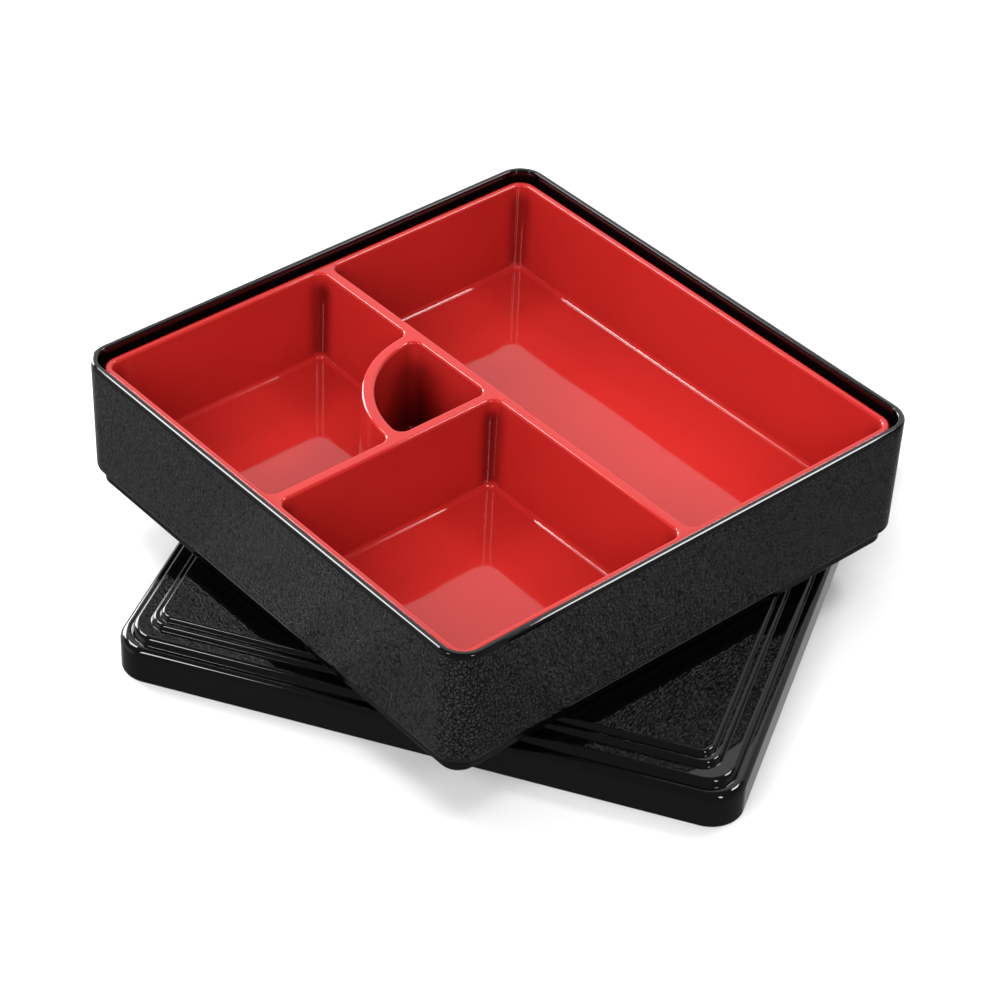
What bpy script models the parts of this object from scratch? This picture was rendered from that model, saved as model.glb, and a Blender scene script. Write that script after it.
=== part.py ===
"""Square compartment lunch box: an outer box with a divided tray in it, standing on its own lid.

Units are metres and +Z is up. The lid lies the right way up on the ground, centred on the origin and
turned against the box. The box stands on the lid's raised middle, and the tray rests on the box's floor.
"""

import math

import bmesh
import bpy
from mathutils import Vector

# ---- driving dimensions, in metres ----
REST_GAP = 0.0003                   # air left between two pieces that rest on each other

LID_SIDE = 0.2784
LID_CORNER = 0.015                  # corner radius of the lid's outline at its skirt
LID_CORNER_TIGHTENING = 0.56        # how fast that radius shrinks as the steps go in
LID_TURN = math.radians(31.2)       # how far the lid is turned against the box
LID_LEDGES = (0.0173, 0.0210, 0.0235, 0.0258)    # heights of its three ledges and of its raised middle
LID_SKIN = 0.0025

BOX_CENTRE = (-0.0113, -0.0075)     # where the box stands on the lid
BOX_SIDE = 0.260
BOX_CORNER = 0.013
BOX_RIM = 0.0663                    # height of the rim above the foot's lower edge
BOX_WALL = 0.003
BOX_DRAFT_OUTSIDE = 0.0005
BOX_DRAFT_INSIDE = 0.0015
BOX_FLOOR = 0.0115                  # height of the inner floor above the foot's lower edge
BOX_FLOOR_SKIN = 0.003
FOOT_HEIGHT = 0.007
FOOT_INSET = 0.004
FOOT_WIDTH = 0.004

TRAY_SIDE = 0.2486
TRAY_CORNER = 0.0085
TRAY_TOP = 0.0619                   # height of the tray's rim above the box's foot
TRAY_DRAFT_OUTSIDE = 0.0019
TRAY_RIM_ROUNDING = 0.001
TRAY_RIM_EDGE = 0.0012              # how far in from a wall the flat top of the rim starts

POCKET_DEPTH = 0.0474
POCKET_SPAN = 0.1208                # from the tray's centre to the pockets' outer walls
POCKET_DRAFT = 0.0008
POCKET_FLOOR_ROUNDING = 0.0025
POCKET_CORNER = 0.0045
DIVIDER = 0.0058
LONG_DIVIDER_Y = 0.0014             # centre line of the divider between the big pocket and the others
CROSS_DIVIDER_X = -0.0010           # centre line of the divider between the left and front pockets
SAUCE_RADIUS = 0.049                # inside radius of the quarter-round sauce pocket's curved wall

# ---- how finely round stretches are divided ----
CORNER_STEPS = 8
ARC_STEP = 0.005                    # longest facet along a large arc
EDGE_STEPS = 3                      # facets round a rim, a ledge or a floor's edge

RIGHT_ANGLE = math.pi / 2
SAME_POINT = 1e-6                   # arcs that touch share one point
SMOOTH_LIMIT = math.radians(35)


# ---- outlines, as arcs joined by straight runs ----
def rounded_rectangle(low, high, radius):
    """Four corner arcs, anticlockwise: centre x and y, radius, start angle and end angle."""
    left, right = low[0] + radius, high[0] - radius
    near, far = low[1] + radius, high[1] - radius
    centres = ((right, far), (left, far), (left, near), (right, near))
    return [
        (x, y, radius, turn * RIGHT_ANGLE, (turn + 1) * RIGHT_ANGLE)
        for turn, (x, y) in enumerate(centres)
    ]


def square(side, radius):
    half = side / 2
    return rounded_rectangle((-half, -half), (half, half), radius)


def left_pocket(low, high, radius, bite):
    """A rectangle whose far right corner is taken up by the sauce pocket's curved wall."""
    far_right, far_left, near_left, near_right = rounded_rectangle(low, high, radius)
    reach = math.sqrt((bite + radius) ** 2 - radius ** 2)
    lean = math.atan2(radius, reach)
    x, y = high
    return [
        (x - radius, y - reach, radius, 0, RIGHT_ANGLE - lean),
        (x, y, bite, 3 * RIGHT_ANGLE - lean, 2 * RIGHT_ANGLE + lean),
        (x - reach, y - radius, radius, lean, RIGHT_ANGLE),
        far_left,
        near_left,
        near_right,
    ]


def sauce_pocket(corner, radius, span):
    """A quarter circle that fills the corner between the two dividers."""
    reach = math.sqrt((span - radius) ** 2 - radius ** 2)
    lean = math.atan2(radius, reach)
    x, y = corner
    return [
        (x - radius, y - radius, radius, 0, RIGHT_ANGLE),
        (x - reach, y - radius, radius, RIGHT_ANGLE, 2 * RIGHT_ANGLE + lean),
        (x, y, span, 2 * RIGHT_ANGLE + lean, 3 * RIGHT_ANGLE - lean),
        (x - radius, y - reach, radius, 3 * RIGHT_ANGLE - lean, 4 * RIGHT_ANGLE),
    ]


def outline_points(arcs, inset=0.0):
    """Points along the arcs, moved in by the inset. An arc that runs clockwise bulges into the shape."""
    points = []
    for x, y, radius, start, end in arcs:
        moved = radius - inset if end > start else radius + inset
        steps = max(CORNER_STEPS, round(abs(end - start) * radius / ARC_STEP))
        for step in range(steps + 1):
            angle = start + (end - start) * step / steps
            point = (x + moved * math.cos(angle), y + moved * math.sin(angle))
            if not points or math.dist(points[-1], point) > SAME_POINT:
                points.append(point)
    return points


# ---- profiles, as corners that get their rounding here ----
def rounded_profile(corners):
    """Points of a profile given as (inset, height, rounding) corners. Its two ends stay as they are."""
    points = []
    for index, (inset, height, rounding) in enumerate(corners):
        corner = Vector((inset, height))
        if rounding == 0:
            points.append(corner)
            continue
        before = (Vector(corners[index - 1][:2]) - corner).normalized()
        after = (Vector(corners[index + 1][:2]) - corner).normalized()
        half_angle = before.angle(after) / 2
        reach = rounding / math.tan(half_angle)
        centre = corner + (before + after).normalized() * rounding / math.sin(half_angle)
        start = corner + before * reach - centre
        end = corner + after * reach - centre
        for step in range(EDGE_STEPS + 1):
            points.append(centre + start.slerp(end, step / EDGE_STEPS) * rounding)
    return points


# ---- solids ----
def loft(mesh, outline_at, profile):
    """Join one ring of points for each profile point. Gives back the first and the last ring."""
    rings = []
    for inset, height in profile:
        rings.append([mesh.verts.new((x, y, height)) for x, y in outline_at(inset)])
    for ring, following in zip(rings, rings[1:]):
        for index in range(len(ring)):
            mesh.faces.new((ring[index - 1], ring[index], following[index], following[index - 1]))
    return rings[0], rings[-1]


def edges_of(mesh, ring):
    return [mesh.edges.get((ring[index - 1], ring[index])) for index in range(len(ring))]


def plastic(name, colour, roughness):
    material = bpy.data.materials.new(name)
    material.use_nodes = True
    shader = material.node_tree.nodes["Principled BSDF"]
    shader.inputs["Base Color"].default_value = (*colour, 1)
    shader.inputs["Roughness"].default_value = roughness
    shader.inputs["Metallic"].default_value = 0
    return material


def finish(name, mesh, material):
    """Turn a closed bmesh into a named object with smooth round stretches and crisp edges."""
    bmesh.ops.recalc_face_normals(mesh, faces=mesh.faces)
    data = bpy.data.meshes.new(name)
    mesh.to_mesh(data)
    mesh.free()
    data.shade_smooth()
    data.set_sharp_from_angle(angle=SMOOTH_LIMIT)
    data.materials.append(material)
    piece = bpy.data.objects.new(name, data)
    bpy.context.scene.collection.objects.link(piece)
    return piece


def make_lid():
    """A stepped lid, hollow underneath: skirt, shoulder, three ledges and a raised middle."""
    shoulder, wide_ledge, narrow_ledge, middle = LID_LEDGES
    corners = [
        (0.0187, middle - LID_SKIN, 0),
        (0.0181, narrow_ledge - LID_SKIN, 0),
        (0.0154, narrow_ledge - LID_SKIN, 0),
        (0.0145, wide_ledge - LID_SKIN, 0),
        (0.0081, wide_ledge - LID_SKIN, 0),
        (0.0072, shoulder - LID_SKIN, 0),
        (0.0029, shoulder - LID_SKIN, 0.0008),
        (LID_SKIN, 0, 0.0006),
        (0, 0, 0.0006),
        (0, shoulder, 0.0032),
        (0.0046, shoulder, 0.0006),
        (0.0056, wide_ledge, 0.0009),
        (0.0120, wide_ledge, 0.0006),
        (0.0130, narrow_ledge, 0.0009),
        (0.0155, narrow_ledge, 0.0004),
        (0.0163, middle, 0.0007),
        (0.0192, middle, 0),
    ]

    def outline_at(inset):
        corner = LID_CORNER - LID_CORNER_TIGHTENING * inset
        return outline_points(square(LID_SIDE - 2 * inset, corner))

    mesh = bmesh.new()
    underside, top = loft(mesh, outline_at, rounded_profile(corners))
    mesh.faces.new(underside)
    mesh.faces.new(top)
    lid = finish("lid", mesh, plastic("black_gloss", (0.012, 0.012, 0.013), 0.12))
    lid.rotation_euler.z = LID_TURN
    return lid


def make_outer_box():
    """The outer box: a floor and four walls with a rounded rim, on a low foot ring set in from the walls."""
    floor_underside = BOX_FLOOR - BOX_FLOOR_SKIN
    foot_inside = FOOT_INSET + FOOT_WIDTH
    inside_floor = BOX_WALL + BOX_DRAFT_INSIDE
    corners = [
        (foot_inside + 0.001, floor_underside, 0),
        (foot_inside, floor_underside, 0),
        (foot_inside, 0, 0.0006),
        (FOOT_INSET, 0, 0.001),
        (FOOT_INSET, FOOT_HEIGHT, 0.0004),
        (BOX_DRAFT_OUTSIDE, FOOT_HEIGHT, 0.0025),
        (0, BOX_RIM, 0.0014),
        (BOX_WALL, BOX_RIM, 0.0014),
        (inside_floor, BOX_FLOOR, 0.002),
        (inside_floor + 0.003, BOX_FLOOR, 0),
    ]

    def outline_at(inset):
        return outline_points(square(BOX_SIDE, BOX_CORNER), inset)

    mesh = bmesh.new()
    underside, floor = loft(mesh, outline_at, rounded_profile(corners))
    mesh.faces.new(underside)
    mesh.faces.new(floor)
    box = finish("outer_box", mesh, plastic("black_grained", (0.015, 0.015, 0.015), 0.4))
    box.location = (*BOX_CENTRE, LID_LEDGES[-1] + REST_GAP)
    return box


def make_tray(box):
    """One moulding with a flat top and four pockets, the small one a quarter circle for sauce."""
    height = TRAY_TOP - BOX_FLOOR - REST_GAP
    half_divider = DIVIDER / 2
    left = CROSS_DIVIDER_X - half_divider
    right = CROSS_DIVIDER_X + half_divider
    near = LONG_DIVIDER_Y - half_divider
    far = LONG_DIVIDER_Y + half_divider
    span = POCKET_SPAN
    pockets = (
        rounded_rectangle((-span, far), (span, span), POCKET_CORNER),
        rounded_rectangle((right, -span), (span, near), POCKET_CORNER),
        left_pocket((-span, -span), (left, near), POCKET_CORNER, SAUCE_RADIUS + DIVIDER),
        sauce_pocket((left, near), POCKET_CORNER, SAUCE_RADIUS),
    )
    skin_corners = [
        (TRAY_DRAFT_OUTSIDE + 0.004, 0, 0),
        (TRAY_DRAFT_OUTSIDE, 0, 0.0015),
        (0, height, TRAY_RIM_ROUNDING),
        (TRAY_RIM_EDGE, height, 0),
    ]
    pocket_corners = [
        (-TRAY_RIM_EDGE, height, 0),
        (0, height, TRAY_RIM_ROUNDING),
        (POCKET_DRAFT, height - POCKET_DEPTH, POCKET_FLOOR_ROUNDING),
        (POCKET_DRAFT + POCKET_FLOOR_ROUNDING + 0.0004, height - POCKET_DEPTH, 0),
    ]

    mesh = bmesh.new()
    skin = square(TRAY_SIDE, TRAY_CORNER)
    underside, rim = loft(mesh, lambda inset: outline_points(skin, inset), rounded_profile(skin_corners))
    mesh.faces.new(underside)
    top_edges = edges_of(mesh, rim)
    for pocket in pockets:
        mouth, floor = loft(
            mesh, lambda inset: outline_points(pocket, inset), rounded_profile(pocket_corners)
        )
        mesh.faces.new(floor)
        top_edges += edges_of(mesh, mouth)
    bmesh.ops.triangle_fill(mesh, use_beauty=True, edges=top_edges, normal=(0, 0, 1))
    tray = finish("compartment_tray", mesh, plastic("red_gloss", (0.60, 0.02, 0.02), 0.15))
    tray.parent = box
    tray.location.z = BOX_FLOOR + REST_GAP
    return tray


for old in list(bpy.data.objects):
    bpy.data.objects.remove(old, do_unlink=True)

make_lid()
make_tray(make_outer_box())
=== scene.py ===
# %% [markdown]
# # A square lunch box standing on its own lid
#
# This notebook dresses a finished CAD model of a compartment lunch box. The model has three pieces: a
# black outer box, a red tray with four pockets, and a black lid that lies under the box, turned a little.
# The CAD solids hold the true sizes. Here each one is rebuilt at the same size with much finer
# roundings, because polished plastic shows every facet, and gets the finish that its plastic has.

# %% Load the frame
import math

import bmesh
import bpy
from mathutils import Matrix, Vector


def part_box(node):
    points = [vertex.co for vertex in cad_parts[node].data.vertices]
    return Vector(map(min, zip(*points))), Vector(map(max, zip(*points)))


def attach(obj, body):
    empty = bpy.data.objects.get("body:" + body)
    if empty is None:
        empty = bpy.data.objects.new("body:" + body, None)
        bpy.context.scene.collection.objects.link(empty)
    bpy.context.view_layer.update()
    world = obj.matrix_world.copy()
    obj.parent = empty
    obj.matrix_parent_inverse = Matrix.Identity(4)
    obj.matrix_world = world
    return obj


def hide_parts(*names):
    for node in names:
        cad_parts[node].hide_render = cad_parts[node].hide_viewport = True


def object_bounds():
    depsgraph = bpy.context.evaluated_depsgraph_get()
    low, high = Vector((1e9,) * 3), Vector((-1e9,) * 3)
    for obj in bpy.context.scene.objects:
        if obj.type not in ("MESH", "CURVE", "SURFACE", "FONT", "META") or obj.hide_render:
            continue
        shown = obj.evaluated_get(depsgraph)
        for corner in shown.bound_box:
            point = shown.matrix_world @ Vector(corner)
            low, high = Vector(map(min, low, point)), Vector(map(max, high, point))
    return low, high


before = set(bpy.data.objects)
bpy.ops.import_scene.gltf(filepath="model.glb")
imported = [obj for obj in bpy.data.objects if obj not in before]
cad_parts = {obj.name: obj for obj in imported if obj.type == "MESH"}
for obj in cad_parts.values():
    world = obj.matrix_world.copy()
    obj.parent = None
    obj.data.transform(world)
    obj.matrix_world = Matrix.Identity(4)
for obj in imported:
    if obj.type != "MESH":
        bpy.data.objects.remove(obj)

cad_low, cad_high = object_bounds()
print("CAD box, in metres:", [round(value, 4) for value in (*cad_low, *cad_high)])

# %% [markdown]
# ## Where things stand
#
# Every place comes from the CAD nodes. The lid is turned about the vertical, so its own box is wider
# than its side. A rounded square of side s and corner radius r, turned by an angle t, spans
# (s - 2r)(cos t + sin t) + 2r, which gives the side back once the corner and the turn are known.

# %% Read the places and sizes from the frame
box_low, box_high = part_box("outer_box")
tray_low, tray_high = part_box("compartment_tray")
lid_low, lid_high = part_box("lid")

LID_TURN = math.radians(31.2)
LID_CORNER = 0.015

box_centre = (box_low + box_high) / 2
tray_centre = (tray_low + tray_high) / 2
lid_centre = (lid_low + lid_high) / 2
box_side = box_high.x - box_low.x
tray_side = tray_high.x - tray_low.x
lid_spread = math.cos(LID_TURN) + math.sin(LID_TURN)
lid_side = (lid_high.x - lid_low.x - 2 * LID_CORNER) / lid_spread + 2 * LID_CORNER
print(f"box {box_side * 1000:.1f} mm, tray {tray_side * 1000:.1f} mm, lid {lid_side * 1000:.1f} mm")

# %% [markdown]
# ## The camera
#
# A product shot of something this flat is taken from well above, with a long lens from over a metre
# away, so that the far side stays nearly as wide as the near one. The camera's place is given from the
# middle of the tray's top, and its aim by two angles and a slight roll. A small sideways shift frames
# the box without turning the camera, which would change the convergence of its walls.

# %% Place the camera
CAMERA_FROM_TRAY = Vector((0.8097, -0.7353, 0.8141))
LOOK_AZIMUTH = math.radians(49.16)
LOOK_ELEVATION = math.radians(38.65)
CAMERA_ROLL = math.radians(1.88)
SENSOR_WIDTH = 36
LENS = 112.04
SIDEWAYS_SHIFT = 0.07
FARTHEST_SEEN = 50


def turn(angle, axis):
    return Matrix.Rotation(angle, 4, axis)


camera_data = bpy.data.cameras.new("product_camera")
camera_data.sensor_width = SENSOR_WIDTH
camera_data.lens = LENS
camera_data.shift_x = SIDEWAYS_SHIFT
camera_data.clip_end = FARTHEST_SEEN
camera = bpy.data.objects.new("product_camera", camera_data)
bpy.context.scene.collection.objects.link(camera)
bpy.context.scene.camera = camera

tray_top_middle = Vector((box_centre.x, box_centre.y, tray_high.z))
aim = turn(LOOK_AZIMUTH, "Z") @ turn(math.pi / 2 - LOOK_ELEVATION, "X") @ turn(CAMERA_ROLL, "Z")
camera.matrix_world = Matrix.Translation(tray_top_middle + CAMERA_FROM_TRAY) @ aim
print("camera at", [round(value, 3) for value in camera.matrix_world.translation])

# %% [markdown]
# ## A small language for finishes
#
# A finish is a graph of shader nodes, which reads badly as a list of links. So one small class wraps a
# socket and gives it the usual operators: `height * 0.5 + 0.1` adds the Math nodes by itself. A second
# class holds the material and makes any other node from its type, its settings and its inputs.


# %% Wrap sockets so that sums read as sums
class Wire:
    """An output socket that can be used in sums."""

    def __init__(self, graph, socket):
        self.graph = graph
        self.socket = socket

    def maths(self, operation, *values):
        inputs = dict(enumerate(values))
        return self.graph.node("ShaderNodeMath", {"operation": operation}, inputs)

    def __add__(self, other):
        return self.maths("ADD", self, other)

    def __sub__(self, other):
        return self.maths("SUBTRACT", self, other)

    def __rsub__(self, other):
        return self.maths("SUBTRACT", other, self)

    def __mul__(self, other):
        return self.maths("MULTIPLY", self, other)

    def __pow__(self, other):
        return self.maths("POWER", abs(self), other)

    def __abs__(self):
        return self.maths("ABSOLUTE", self)

    __radd__ = __add__
    __rmul__ = __mul__

    def between(self, low, high):
        """0 at low, 1 at high, and a soft step between them."""
        settings = {"interpolation_type": "SMOOTHSTEP"}
        inputs = {"Value": self, "From Min": low, "From Max": high}
        return self.graph.node("ShaderNodeMapRange", settings, inputs)


class Graph:
    """A node tree whose nodes are made from a type, settings and inputs."""

    def __init__(self, tree):
        self.tree = tree

    def plug(self, socket, value):
        if isinstance(value, Wire):
            self.tree.links.new(value.socket, socket)
        elif hasattr(socket.default_value, "__len__") and len(value) < len(socket.default_value):
            socket.default_value = (*value, 1)
        else:
            socket.default_value = value

    def node(self, kind, settings=None, inputs=None, output=0):
        """Make a node: settings first, then the values or links of its sockets, by name or number."""
        node = self.tree.nodes.new(kind)
        for name, value in (settings or {}).items():
            setattr(node, name, value)
        for name, value in (inputs or {}).items():
            self.plug(node.inputs[name], value)
        return Wire(self, node.outputs[output])


class Finish(Graph):
    """A material with one Principled shader, whose inputs are set by name."""

    def __init__(self, name, **constants):
        self.material = bpy.data.materials.new(name)
        self.material.use_nodes = True
        super().__init__(self.material.node_tree)
        self.shader = self.tree.nodes["Principled BSDF"]
        for socket, value in constants.items():
            self.set(socket.replace("_", " "), value)

    def set(self, name, value):
        self.plug(self.shader.inputs[name], value)

    def place(self):
        return self.node("ShaderNodeTexCoord", output="Object")

    def noise(self, place, scale, detail=2.0, roughness=0.5):
        inputs = {"Vector": place, "Scale": scale, "Detail": detail, "Roughness": roughness}
        return self.node("ShaderNodeTexNoise", None, inputs)

    def colour_mix(self, factor, first, second):
        settings = {"data_type": "RGBA"}
        return self.node("ShaderNodeMix", settings, {0: factor, 6: first, 7: second}, output=2)

    def relief(self, height, depth):
        """Bump from a height of 0 to 1 that stands for a real depth in metres."""
        inputs = {"Height": height, "Distance": depth, "Strength": 1.0}
        self.set("Normal", self.node("ShaderNodeBump", None, inputs))


print("finishes can now be written as sums")

# %% [markdown]
# ## The tray's layout
#
# The tray holds three square-cornered pockets, and the left one gives its inner corner to a small
# sauce pocket with a curved wall. The layout comes first, because the red finish uses it too.

# %% Lay out the pockets
TRAY_CORNER = 0.0085
TRAY_DRAFT = 0.0019
TRAY_ROUNDING = 0.001
FLAT_TOP_STARTS = 0.0012
MOUTH_ROUNDING = 0.0014
MOUTH_STARTS = 0.0016
POCKET_DEPTH = 0.0474
POCKET_SPAN = 0.1208
POCKET_DRAFT = 0.0008
POCKET_FLOOR_ROUNDING = 0.0025
POCKET_CORNER = 0.0045
DIVIDER = 0.0058
LONG_DIVIDER_Y = 0.0014
CROSS_DIVIDER_X = -0.0010
SAUCE_RADIUS = 0.049
tray_height = tray_high.z - tray_low.z

divider_left = CROSS_DIVIDER_X - DIVIDER / 2
divider_right = CROSS_DIVIDER_X + DIVIDER / 2
divider_near = LONG_DIVIDER_Y - DIVIDER / 2
divider_far = LONG_DIVIDER_Y + DIVIDER / 2
corner_rooms = {
    "big": ((-POCKET_SPAN, divider_far), (POCKET_SPAN, POCKET_SPAN)),
    "front": ((divider_right, -POCKET_SPAN), (POCKET_SPAN, divider_near)),
    "left": ((-POCKET_SPAN, -POCKET_SPAN), (divider_left, divider_near)),
}
for label, (low, high) in corner_rooms.items():
    print(f"{label} room: {(high[0] - low[0]) * 1000:.1f} by {(high[1] - low[1]) * 1000:.1f} mm")

# %% [markdown]
# ## Polished red plastic
#
# The tray is moulded in a steel tool with a mirror polish, so it reflects like lacquer: the pockets'
# floors show their own walls upside down, and past them the pale studio. A Principled shader with a low
# roughness does that. Real mouldings are never quite flat, so a very shallow, slow waviness bends the
# reflections a little, and a breath of fine dust changes the gloss from place to place. Noise textures
# make both, because neither has any pattern of its own.

# %% Start the red finish
SLOW_COLOUR = 14.0
SLOW_WAVE = 22.0
FINE_DUST = 420.0
POLISH = 0.04
DUST_DULLS_BY = 0.04
DUST_HEIGHT = 0.004
RED_WAVE_DEPTH = 0.00025
DARKER_RED = (0.385, 0.0150, 0.0130)
LIGHTER_RED = (0.41, 0.0170, 0.0145)
red = Finish("gloss_red", Metallic=0.0, IOR=1.5)
red_place = red.place()
red_cloud = red.noise(red_place, SLOW_COLOUR, 3.0)
red_fine = red.noise(red_place, FINE_DUST, 3.0, 0.6)
even_red = red.colour_mix(red_cloud.between(0.3, 0.7), DARKER_RED, LIGHTER_RED)
red.set("Roughness", POLISH + red_fine.between(0.35, 0.8) * DUST_DULLS_BY)
red_wave = red.noise(red_place, SLOW_WAVE, 1.0)
red.relief(red_wave + red_fine * DUST_HEIGHT, RED_WAVE_DEPTH)
print("red finish so far:", len(red.tree.nodes), "nodes")

# %% [markdown]
# ## Darker red in the corners
#
# Little light reaches the upright corners of a deep pocket, and less still the bottom of the small sauce
# pocket. The renderer works out most of that shade by itself. A deeper red near those corners helps it,
# so that the pockets read as deep in any light. Painting it by hand on a texture would need an image, so
# here masks are worked out from the tray's layout: how near a point is to two neighbouring walls, and
# how far below the tray's top it lies. The pockets' floors stay clear of the corner shade.

# %% Measure where a point is in the tray
def along(axis):
    """One coordinate of the point that is being coloured."""
    return red.node("ShaderNodeSeparateXYZ", None, {"Vector": red_place}, output=axis)


red_x = along("X") - tray_centre.x
red_y = along("Y") - tray_centre.y
red_depth = tray_high.z - along("Z")


def distance_from(x, y):
    return ((red_x - x) ** 2 + (red_y - y) ** 2) ** 0.5


print("the tray's top is at", round(tray_high.z * 1000, 1), "mm")

# %% Mask the upright corners
CORNER_REACH = 0.011
in_corners = 0.0
for low, high in corner_rooms.values():
    from_x_wall = abs(abs(red_x - (low[0] + high[0]) / 2) - (high[0] - low[0]) / 2)
    from_y_wall = abs(abs(red_y - (low[1] + high[1]) / 2) - (high[1] - low[1]) / 2)
    near_both = from_x_wall.between(CORNER_REACH, 0.0) * from_y_wall.between(CORNER_REACH, 0.0)
    in_corners = in_corners + near_both
below_mouth = red_depth.between(0.001, 0.010)
above_floor = red_depth.between(POCKET_DEPTH - 0.0005, POCKET_DEPTH - 0.005)
wall_depths = below_mouth * above_floor
print("corner shade reaches", CORNER_REACH * 1000, "mm along each wall")

# %% Mask the sauce pocket
ARC_BLUR = 0.003
DIVIDER_BLUR = 0.002
SAUCE_END_INSET = 0.004
SAUCE_END_REACH = 0.026
SAUCE_END_SHADE = 0.62
SAUCE_DEEP_SHADE = 0.30
inside_arc = distance_from(divider_left, divider_near).between(SAUCE_RADIUS + ARC_BLUR, SAUCE_RADIUS)
left_of_divider = red_x.between(divider_left + DIVIDER_BLUR, divider_left)
near_of_divider = red_y.between(divider_near + DIVIDER_BLUR, divider_near)
in_sauce = inside_arc * left_of_divider * near_of_divider
from_sauce_end = distance_from(divider_left - SAUCE_RADIUS + SAUCE_END_INSET, divider_near)
deep_shade = red_depth.between(0.004, 0.045) * SAUCE_DEEP_SHADE
end_shade = from_sauce_end.between(SAUCE_END_REACH, 0.002) * red_depth.between(0.002, 0.016) * SAUCE_END_SHADE
print("sauce pocket shade reaches", SAUCE_END_REACH * 1000, "mm from its left end")

# %% Put the shade into the red
CORNER_SHADE = 0.72
SHADED_RED = (0.055, 0.0010, 0.0010)
shade = in_corners * (1 - in_sauce) * wall_depths * CORNER_SHADE + in_sauce * (deep_shade + end_shade)
red.set("Base Color", red.colour_mix(shade, even_red, SHADED_RED))
print("red finish:", len(red.tree.nodes), "nodes")

# %% [markdown]
# ## Polished black plastic
#
# The lid and the box's rim, inside and foot have the same polish in black. Black shows nothing but its
# reflections, so the colour is almost zero and all the life is in the gloss. It could share the red
# finish's graph, but with no layout to follow it stays much smaller as a finish of its own: the same
# slow waviness, and fine dust that dulls it slightly.

# %% Make the polished black finish
BLACK_WAVE_DEPTH = 0.0002
black = Finish("gloss_black", Metallic=0.0, IOR=1.5)
black_place = black.place()
black_fine = black.noise(black_place, 380.0, 3.0, 0.6)
black_cloud = black.noise(black_place, 11.0, 2.0)
jet = black.colour_mix(black_cloud, (0.0006, 0.0006, 0.0007), (0.0012, 0.0012, 0.0013))
black.set("Base Color", jet)
black.set("Roughness", POLISH + black_fine.between(0.4, 0.8) * DUST_DULLS_BY)
black.relief(black.noise(black_place, 20.0, 1.0) + black_fine * DUST_HEIGHT, BLACK_WAVE_DEPTH)
print("polished black finish:", len(black.tree.nodes), "nodes")

# %% [markdown]
# ## Grained black plastic
#
# The outer walls carry a moulded leather grain, which hides scratches and gives grip. Leather grain is a
# crowd of small pillows with creases between them, about two millimetres apart. Voronoi cells measured
# by the distance to their edge give exactly that. Bending the coordinates first makes the creases
# wander, and a second, larger noise makes some pillows shallow, as on the real tool. The grain is only
# tenths of a millimetre deep, so bump is enough and the outline stays straight. Creases hold less light
# than the pillows' crowns, so painted shade makes their colour a little blacker. They are also duller.

# %% Bend the grain's coordinates
PER_MM = 1000.0
DRIFTS = 0.55 * PER_MM
DRIFT_REACH = 0.0022
grain = Finish("grained_black", Metallic=0.0, IOR=1.33)
grain_place = grain.place()
drift = grain.node("ShaderNodeTexNoise", None, {"Vector": grain_place, "Scale": DRIFTS}, output="Color")
centred = grain.node("ShaderNodeVectorMath", {"operation": "SUBTRACT"}, {0: drift, 1: (0.5, 0.5, 0.5)})
pushed = grain.node("ShaderNodeVectorMath", {"operation": "SCALE"}, {0: centred, "Scale": DRIFT_REACH})
bent_place = grain.node("ShaderNodeVectorMath", {"operation": "ADD"}, {0: grain_place, 1: pushed})
print("the grain's creases wander by up to", DRIFT_REACH / 2 * 1000, "mm")

# %% Make the grained black finish
PILLOWS = 0.52 * PER_MM
GRAIN_DEPTH = 0.00027
# The crease colour is painted shade: blacker than the crowns because less light reaches the creases.
CREASE_PAINTED_SHADE = (0.0005, 0.0005, 0.0005)
CROWN_BLACK = (0.0175, 0.0172, 0.0172)
cells_inputs = {"Vector": bent_place, "Scale": PILLOWS}
cells = grain.node("ShaderNodeTexVoronoi", {"feature": "DISTANCE_TO_EDGE"}, cells_inputs)
pillows = cells.between(0.0, 0.23)
unevenness = grain.noise(grain_place, 0.25 * PER_MM, 2.0)
sandiness = grain.noise(grain_place, 2.6 * PER_MM, 2.0, 0.6)
height = pillows * (0.45 + unevenness) + sandiness * 0.05
grain.relief(height, GRAIN_DEPTH)
# Painted shade: the colour goes from the crown black down to a darker black in the creases.
grain.set("Base Color", grain.colour_mix(pillows, CREASE_PAINTED_SHADE, CROWN_BLACK))
grain.set("Roughness", 0.17 - pillows * 0.05 + sandiness * 0.04)
print("grained black finish:", len(grain.tree.nodes), "nodes")

# %% [markdown]
# ## Outlines with round corners
#
# Every piece is the same idea: a rounded outline that moves in and out while it goes up and down. So an
# outline is kept as a list of arcs, and straight runs join the arc ends by themselves. Moving the
# outline inwards only changes the arcs' radii, which keeps round corners truly round. An arc that is
# walked clockwise bulges into the shape, as the curved wall of the sauce pocket does.

# %% Write the outlines
RIGHT_ANGLE = math.pi / 2
SAME_POINT = 1e-7


def rounded_rectangle(low, high, radius):
    """Four corner arcs, anticlockwise: centre x and y, radius, start angle and end angle."""
    left, right = low[0] + radius, high[0] - radius
    near, far = low[1] + radius, high[1] - radius
    centres = ((right, far), (left, far), (left, near), (right, near))
    return [
        (x, y, radius, quarter * RIGHT_ANGLE, (quarter + 1) * RIGHT_ANGLE)
        for quarter, (x, y) in enumerate(centres)
    ]


def square(side, radius):
    half = side / 2
    return rounded_rectangle((-half, -half), (half, half), radius)


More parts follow.
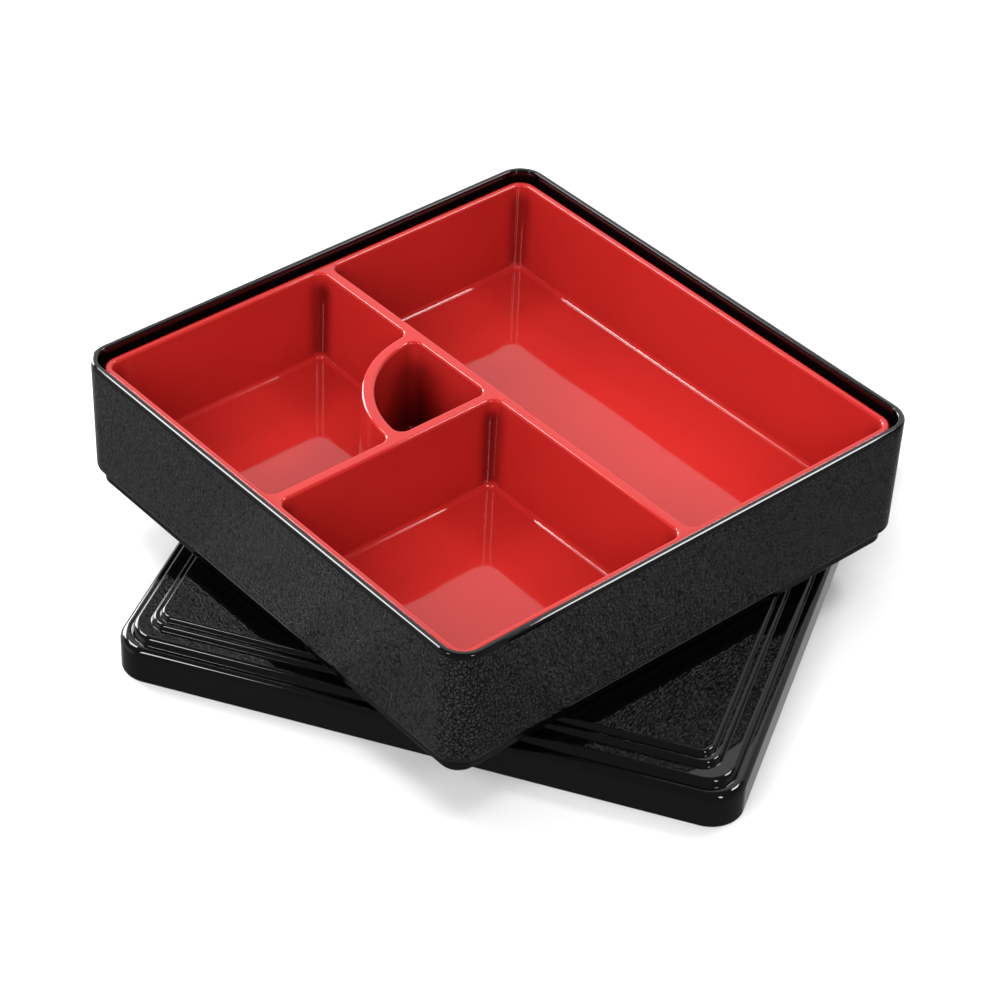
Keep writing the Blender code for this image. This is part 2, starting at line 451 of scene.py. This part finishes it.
def bitten_rectangle(low, high, radius, bite):
    """A rounded rectangle whose far right corner is taken up by a quarter circle."""
    far_left, near_left, near_right = rounded_rectangle(low, high, radius)[1:]
    reach = math.sqrt((bite + radius) ** 2 - radius ** 2)
    lean = math.atan2(radius, reach)
    x, y = high
    return [
        (x - radius, y - reach, radius, 0, RIGHT_ANGLE - lean),
        (x, y, bite, 3 * RIGHT_ANGLE - lean, 2 * RIGHT_ANGLE + lean),
        (x - reach, y - radius, radius, lean, RIGHT_ANGLE),
        far_left,
        near_left,
        near_right,
    ]


def quarter_circle(corner, radius, span):
    """The quarter circle that lies towards -X and -Y of a corner, with its three corners rounded."""
    reach = math.sqrt((span - radius) ** 2 - radius ** 2)
    lean = math.atan2(radius, reach)
    x, y = corner
    return [
        (x - radius, y - radius, radius, 0, RIGHT_ANGLE),
        (x - reach, y - radius, radius, RIGHT_ANGLE, 2 * RIGHT_ANGLE + lean),
        (x, y, span, 2 * RIGHT_ANGLE + lean, 3 * RIGHT_ANGLE - lean),
        (x - radius, y - reach, radius, 3 * RIGHT_ANGLE - lean, 4 * RIGHT_ANGLE),
    ]


def walk(arcs, inset=0.0, corner_steps=20, longest=0.0012):
    """Points round an outline, moved in by the inset. Long arcs get steps of about the longest length."""
    points = []
    for x, y, radius, start, end in arcs:
        moved = radius - inset if end > start else radius + inset
        steps = max(corner_steps, round(abs(end - start) * radius / longest))
        for step in range(steps + 1):
            angle = start + (end - start) * step / steps
            point = (x + moved * math.cos(angle), y + moved * math.sin(angle))
            if not points or math.dist(points[-1], point) > SAME_POINT:
                points.append(point)
    return points


print("a square of 0.1 m with 13 mm corners is walked in", len(walk(square(0.1, 0.013))), "points")

# %% [markdown]
# ## Profiles with rounded edges
#
# The other half of each piece is its profile: how far in from the outline and how high. It is written as
# the few corners a toolmaker would draw, each with its own rounding, and the arcs are worked out here.
# The roundings matter more than anything else on polished plastic, because each one is a curved mirror
# that draws a thin bright line along its edge.


# %% Round the profiles and stretch a skin between them
def rounded_profile(corners, steps=8):
    """Points of a profile given as (inset, height, rounding). A rounding of 0 leaves the corner sharp."""
    points = []
    for index, (inset, height, rounding) in enumerate(corners):
        corner = Vector((inset, height))
        if rounding == 0:
            points.append(corner)
            continue
        before = (Vector(corners[index - 1][:2]) - corner).normalized()
        after = (Vector(corners[index + 1][:2]) - corner).normalized()
        half_angle = before.angle(after) / 2
        reach = rounding / math.tan(half_angle)
        centre = corner + (before + after).normalized() * rounding / math.sin(half_angle)
        start = corner + before * reach - centre
        end = corner + after * reach - centre
        for step in range(steps + 1):
            points.append(centre + start.slerp(end, step / steps) * rounding)
    return points


def loft(mesh, outline_at, profile, slot_at=None):
    """Join one ring of points for each profile point. Gives back the first and the last ring."""
    rings = []
    for inset, height in profile:
        rings.append([mesh.verts.new((x, y, height)) for x, y in outline_at(inset)])
    for level, (ring, following) in enumerate(zip(rings, rings[1:])):
        for index in range(len(ring)):
            face = mesh.faces.new((ring[index - 1], ring[index], following[index], following[index - 1]))
            if slot_at:
                face.material_index = slot_at(profile[level], profile[level + 1])
    return rings[0], rings[-1]


def edges_of(mesh, ring):
    return [mesh.edges.get((ring[index - 1], ring[index])) for index in range(len(ring))]


def make_piece(name, mesh, finishes, place, angle=0.0):
    """Turn a closed bmesh into an object, smooth-shaded, with flat faces kept truly flat."""
    mesh.transform(Matrix.Translation(place) @ turn(angle, "Z"))
    bmesh.ops.recalc_face_normals(mesh, faces=mesh.faces)
    data = bpy.data.meshes.new(name)
    mesh.to_mesh(data)
    mesh.free()
    data.shade_smooth()
    for finish in finishes:
        data.materials.append(finish.material)
    piece = bpy.data.objects.new(name, data)
    bpy.context.scene.collection.objects.link(piece)
    flatten = piece.modifiers.new("flat_faces_win", "WEIGHTED_NORMAL")
    flatten.mode = "FACE_AREA"
    flatten.weight = 100
    print(f"{name}: {len(data.polygons)} faces")
    return piece


# %% [markdown]
# ## The lid
#
# The lid is a shallow tray upside down. Its skirt stands on the table, a soft shoulder turns into a first
# ledge, and three small steps climb to the flat middle. The steps stiffen the thin sheet. A pile of
# bevelled blocks could look like it, but one profile that is swept round the outline keeps every edge's
# rounding in hand, and it makes the hollow underside as well. Corners get tighter from step to step.

# %% Build the lid
LID_CORNER_TIGHTENING = 0.56
LID_SKIN = 0.0025
SHOULDER = 0.0173
WIDE_LEDGE = 0.0210
NARROW_LEDGE = 0.0235
lid_middle = lid_high.z - lid_low.z

# Each corner is (inset, height, rounding), from the middle of the underside round to the middle of the top.
lid_corners = [
    (0.0187, lid_middle - LID_SKIN, 0),
    (0.0181, NARROW_LEDGE - LID_SKIN, 0.0004),
    (0.0154, NARROW_LEDGE - LID_SKIN, 0.0008),
    (0.0145, WIDE_LEDGE - LID_SKIN, 0.0004),
    (0.0081, WIDE_LEDGE - LID_SKIN, 0.0008),
    (0.0072, SHOULDER - LID_SKIN, 0.0006),
    (0.0029, SHOULDER - LID_SKIN, 0.0008),
    (LID_SKIN, 0, 0.0006),
    (0, 0, 0.0006),
    (0, SHOULDER, 0.0032),
    (0.0046, SHOULDER, 0.0006),
    (0.0056, WIDE_LEDGE, 0.0022),
    (0.0120, WIDE_LEDGE, 0.0006),
    (0.0130, NARROW_LEDGE, 0.0014),
    (0.0155, NARROW_LEDGE, 0.0004),
    (0.0163, lid_middle, 0.0014),
    (0.0192, lid_middle, 0),
]


def lid_outline(inset):
    return walk(square(lid_side - 2 * inset, LID_CORNER - LID_CORNER_TIGHTENING * inset))


lid_mesh = bmesh.new()
lid_under, lid_top = loft(lid_mesh, lid_outline, rounded_profile(lid_corners))
lid_mesh.faces.new(lid_under)
lid_mesh.faces.new(lid_top)
lid_place = Vector((lid_centre.x, lid_centre.y, lid_low.z))
lid = make_piece("polished_lid", lid_mesh, [black], lid_place, LID_TURN)
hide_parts("lid")
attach(lid, "root")

# %% [markdown]
# ## The outer box
#
# One moulding with two finishes. The outer walls are grained from just above their rounded lower edge to
# a crisp line below the rim. Above that line the plastic is polished. The rim has a small sloping bevel
# between two roundings, and that bevel draws the long bright line round the box. The polish goes on down
# the inside. Under the walls stands a low foot ring, set in a little. The border between grain and polish
# could be a mask in one finish, but a second material slot, given to the faces between the two grain
# lines, draws it perfectly sharp.

# %% Build the outer box
BOX_CORNER = 0.013
BOX_WALL = 0.003
RIM_ROUNDING = 0.0008
RIM_BEVEL = 0.0011
RIM_BEVEL_DROP = 0.00051
DRAFT_OUTSIDE = 0.0005
DRAFT_INSIDE = 0.0015
BOX_FLOOR = 0.0115
FLOOR_SKIN = 0.003
FOOT_HEIGHT = 0.007
FOOT_INSET = 0.004
FOOT_WIDTH = 0.004
GRAIN_STOPS_BELOW_RIM = 0.0026
GRAIN_STARTS_ABOVE_EDGE = 0.0022
box_rim = box_high.z - box_low.z

grain_low = FOOT_HEIGHT + GRAIN_STARTS_ABOVE_EDGE
grain_high = box_rim - GRAIN_STOPS_BELOW_RIM
foot_inside = FOOT_INSET + FOOT_WIDTH
inside_floor = BOX_WALL + DRAFT_INSIDE


def wall_inset(level):
    """How far the sloping outer wall stands in at a height."""
    return DRAFT_OUTSIDE * (box_rim - level) / (box_rim - FOOT_HEIGHT)


grain_first_ring = grain_low + 0.0006
box_corners = [
    (foot_inside + 0.001, BOX_FLOOR - FLOOR_SKIN, 0),
    (foot_inside, BOX_FLOOR - FLOOR_SKIN, 0.0004),
    (foot_inside, 0, 0.0006),
    (FOOT_INSET, 0, 0.001),
    (FOOT_INSET, FOOT_HEIGHT, 0.0004),
    (DRAFT_OUTSIDE, FOOT_HEIGHT, 0.0025),
    (wall_inset(grain_first_ring), grain_first_ring, 0),
    (wall_inset(grain_high), grain_high, 0),
    (0, box_rim - RIM_BEVEL_DROP, 0.0008),
    (RIM_BEVEL, box_rim, 0.0009),
    (BOX_WALL, box_rim, RIM_ROUNDING),
    (inside_floor, BOX_FLOOR, 0.002),
    (inside_floor + 0.003, BOX_FLOOR, 0),
]


def box_finish_at(lower, upper):
    """Slot 1, the grain, between the two grain lines on the outside, and slot 0 elsewhere."""
    outside = max(lower[0], upper[0]) < BOX_WALL / 2
    return int(outside and lower[1] > grain_low and upper[1] < grain_high + SAME_POINT)


def box_outline(inset):
    return walk(square(box_side, BOX_CORNER), inset)


box_mesh = bmesh.new()
box_profile = rounded_profile(box_corners)
box_under, box_floor_ring = loft(box_mesh, box_outline, box_profile, box_finish_at)
box_mesh.faces.new(box_under)
box_mesh.faces.new(box_floor_ring)
box_place = Vector((box_centre.x, box_centre.y, box_low.z))
outer_box = make_piece("grained_box", box_mesh, [black, grain], box_place)
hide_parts("outer_box")
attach(outer_box, "root")

# %% [markdown]
# ## The tray
#
# The tray is one moulding with a flat top. Each pocket is a loft of its own that starts at the rim,
# turns over a small rounding, runs down a wall with a little draft and sweeps into the floor. The flat
# top is then filled in one go between the outer rim and the four mouths, so the walls, the top and the
# floors are one closed skin without a Boolean.

# %% Build the tray
pockets = {
    "big": rounded_rectangle((-POCKET_SPAN, divider_far), (POCKET_SPAN, POCKET_SPAN), POCKET_CORNER),
    "front": rounded_rectangle((divider_right, -POCKET_SPAN), (POCKET_SPAN, divider_near), POCKET_CORNER),
    "left": bitten_rectangle(
        (-POCKET_SPAN, -POCKET_SPAN), (divider_left, divider_near), POCKET_CORNER, SAUCE_RADIUS + DIVIDER
    ),
    "sauce": quarter_circle((divider_left, divider_near), POCKET_CORNER, SAUCE_RADIUS),
}
skin_corners = [
    (TRAY_DRAFT + 0.004, 0, 0),
    (TRAY_DRAFT, 0, 0.0015),
    (0, tray_height, TRAY_ROUNDING),
    (FLAT_TOP_STARTS, tray_height, 0),
]
pocket_floor = tray_height - POCKET_DEPTH
pocket_corners = [
    (-MOUTH_STARTS, tray_height, 0),
    (0, tray_height, MOUTH_ROUNDING),
    (POCKET_DRAFT, pocket_floor, POCKET_FLOOR_ROUNDING),
    (POCKET_DRAFT + POCKET_FLOOR_ROUNDING + 0.0004, pocket_floor, 0),
]

tray_mesh = bmesh.new()
tray_skin = square(tray_side, TRAY_CORNER)
tray_under, tray_rim = loft(tray_mesh, lambda inset: walk(tray_skin, inset), rounded_profile(skin_corners))
tray_mesh.faces.new(tray_under)
top_edges = edges_of(tray_mesh, tray_rim)
for label, pocket in pockets.items():
    mouth, floor_ring = loft(tray_mesh, lambda inset: walk(pocket, inset), rounded_profile(pocket_corners))
    tray_mesh.faces.new(floor_ring)
    top_edges += edges_of(tray_mesh, mouth)
    print(label, "pocket:", len(mouth), "points round its mouth")
bmesh.ops.triangle_fill(tray_mesh, use_beauty=True, edges=top_edges, normal=(0, 0, 1))
tray_place = Vector((tray_centre.x, tray_centre.y, tray_low.z))
tray = make_piece("red_tray", tray_mesh, [red], tray_place)
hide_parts("compartment_tray")
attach(tray, "root")

# %% [markdown]
# ## The studio
#
# The set is a pale table under soft light. Polished plastic is lit by what it mirrors, so the lamps are
# small panels, each hung where one kind of edge mirrors it. A panel high on the left and one at the back
# right draw the bright lines along the rim. A lower one on the left whitens the lid's corner. Two in
# front draw thin lines down the pockets' upright corners and put glints on the lid's near corner. Two
# wide, mild fills give the plastic its colour and are hidden from mirror reflections. So is the table,
# because the black walls would otherwise turn as pale as the table.

# %% Lay the table
HALF_TABLE = 4.0
TABLE_GREY = (0.76, 0.76, 0.76)
table_data = bpy.data.meshes.new("pale_table")
table_corners = [(x * HALF_TABLE, y * HALF_TABLE, 0) for x, y in ((-1, -1), (1, -1), (1, 1), (-1, 1))]
table_data.from_pydata(table_corners, [], [(0, 1, 2, 3)])
table = bpy.data.objects.new("pale_table", table_data)
bpy.context.scene.collection.objects.link(table)
table.location.z = cad_low.z
pale = Finish("pale_table", Roughness=0.9, Base_Color=TABLE_GREY)
pale.set("Specular IOR Level", 0.2)
table_data.materials.append(pale.material)
table.visible_glossy = False

# %% Hang the lamps
middle = Vector((0, 0, 0.05))
# An area lamp glows with a quarter of its watts for each square metre of its size.
WATTS_PER_GLOW = 4


def panel(name, azimuth, elevation, distance, size, radiance):
    """A soft panel that faces the middle, at angles counted from the right-hand side of the view."""
    turned = LOOK_AZIMUTH + math.radians(azimuth)
    raised = math.radians(elevation)
    direction = Vector((
        math.cos(raised) * math.cos(turned),
        math.cos(raised) * math.sin(turned),
        math.sin(raised),
    ))
    data = bpy.data.lights.new(name, "AREA")
    data.shape = "RECTANGLE"
    data.size, data.size_y = size
    data.energy = radiance * WATTS_PER_GLOW * size[0] * size[1]
    lamp = bpy.data.objects.new(name, data)
    bpy.context.scene.collection.objects.link(lamp)
    lamp.location = middle + direction * distance
    lamp.rotation_euler = direction.to_track_quat("Z", "Y").to_euler()
    lamp.visible_camera = False
    print(f"{name}: {data.energy:.0f} W")
    return lamp


# Azimuth 0 is to the right, 90 is away from the camera, 180 is to the left and -90 is behind the camera.
BRIGHT = 14.0
NEAR = 1.8
panel("high_left_panel", 147, 50, NEAR, (0.50, 0.42), BRIGHT)
panel("low_left_panel", 134, 20, NEAR, (0.75, 0.90), 12.0)
panel("back_right_panel", 27, 54, NEAR, (0.44, 0.36), BRIGHT)
panel("front_left_panel", 222, 38, NEAR, (0.24, 0.50), BRIGHT)
panel("front_right_panel", 302, 38, NEAR, (0.24, 0.50), BRIGHT)
overhead = panel("overhead_fill", 90, 85, NEAR, (2.0, 2.0), 1.1)
front = panel("front_fill", -108, 32, 2.4, (1.8, 1.4), 4.8)
overhead.visible_glossy = False
front.visible_glossy = False

# %% [markdown]
# ## The room
#
# The world stands for the room round the table. It is dim, so that black plastic stays black. Behind the
# table hangs a bright backdrop, which the flat red surfaces and the tray's top mirror as a pale sheen.
# A band of paler card at each side, round the height of the table, lifts the grained walls a little, and
# the left-hand one is the brighter. Each is a soft mask on the direction in which a ray leaves. Real
# cards in the scene would do it too, but they would show in the views from behind.

# %% Fill the room with pale air
ROOM = 0.16
BACKDROP = 1.16
SIDE_CARDS = 0.55
air = bpy.data.worlds.new("studio_air")
air.use_nodes = True
air_nodes = Graph(air.node_tree)
towards = air_nodes.node("ShaderNodeTexCoord", output="Generated")
rise = air_nodes.node("ShaderNodeSeparateXYZ", None, {"Vector": towards}, output="Z")


def share_along(direction):
    """How much of a ray's direction goes along another one, from -1 to 1."""
    inputs = {0: towards, 1: direction}
    return air_nodes.node("ShaderNodeVectorMath", {"operation": "DOT_PRODUCT"}, inputs, output="Value")


behind = share_along((-math.sin(LOOK_AZIMUTH), math.cos(LOOK_AZIMUTH), 0))
backdrop = behind.between(0.40, 0.70) * (rise.between(-0.15, 0.05) * 0.72 + 0.28)
leftwards = share_along((-math.cos(LOOK_AZIMUTH), -math.sin(LOOK_AZIMUTH), 0))
card_heights = rise.between(-0.50, -0.25) * rise.between(0.30, 0.15)
card_strength = leftwards.between(-0.6, 0.6) * 0.75 + 0.25
side_cards = card_heights * behind.between(-0.60, -0.30) * card_strength
glow = backdrop * (BACKDROP - ROOM) + side_cards * (1 - backdrop) * SIDE_CARDS + ROOM
background = air.node_tree.nodes["Background"]
background.inputs["Color"].default_value = (1, 1, 1, 1)
air_nodes.plug(background.inputs["Strength"], glow)
bpy.context.scene.world = air
bpy.context.scene.view_settings.view_transform = "Standard"
print("room air:", len(air.node_tree.nodes), "nodes")
